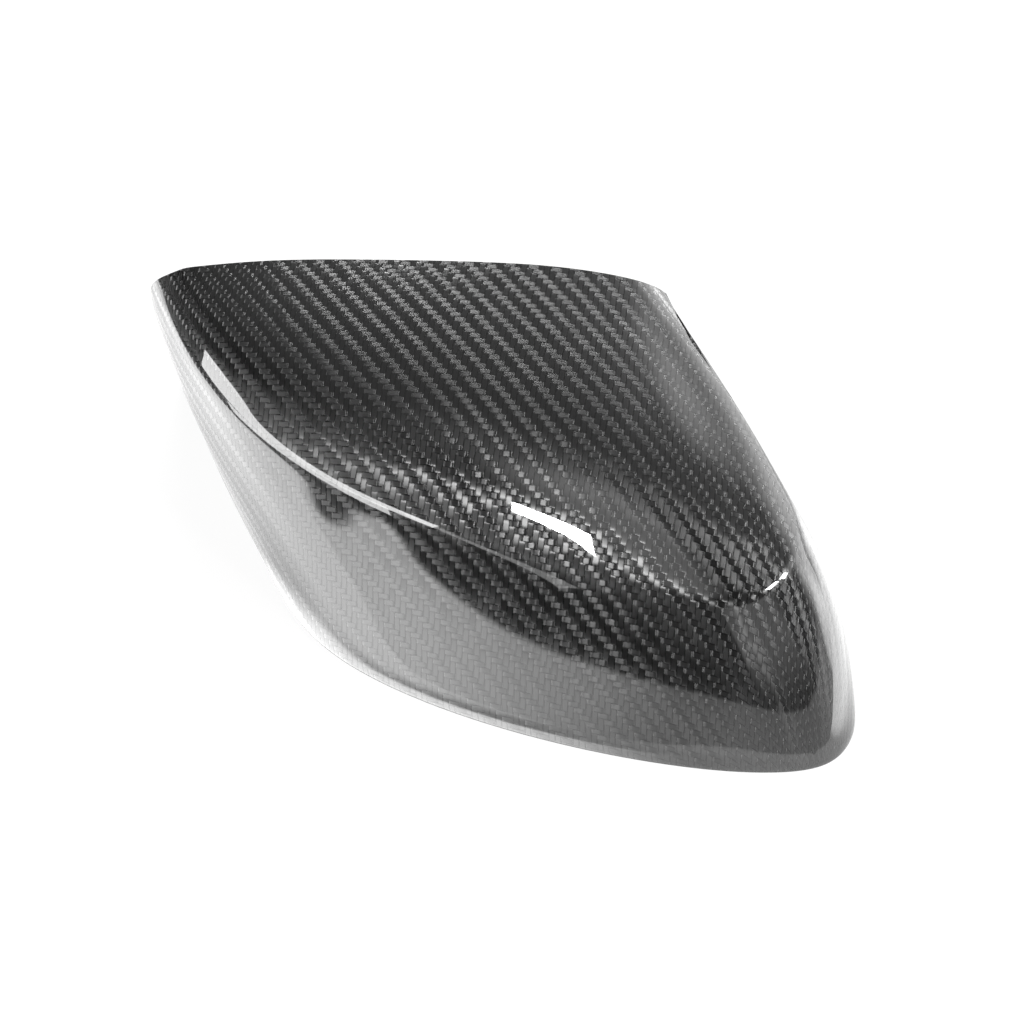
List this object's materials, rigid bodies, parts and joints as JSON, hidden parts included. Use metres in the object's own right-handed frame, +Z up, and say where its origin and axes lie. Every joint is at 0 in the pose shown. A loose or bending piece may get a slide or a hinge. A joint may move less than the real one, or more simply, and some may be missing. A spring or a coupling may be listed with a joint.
{
  "type": "wing mirror cover",
  "caption": "Curved shell cover for a wing mirror housing, laid up in carbon twill under clear gloss coat, open at the rear and underneath.",
  "frame": {"origin": "middle of the shell's footprint, on the surface that its base rim stands on", "axes": "+X along the rear trim edge towards the nose end, +Y from the front wall to the rear trim edge, +Z up out of the top face"},
  "size_m": [0.2496, 0.1424, 0.073],
  "materials": {
    "carbon_laminate": "woven carbon twill under clear gloss coat"
  },
  "bodies": {
    "root": {"mirror_cover": "carbon_laminate"}
  },
  "joints": []
}
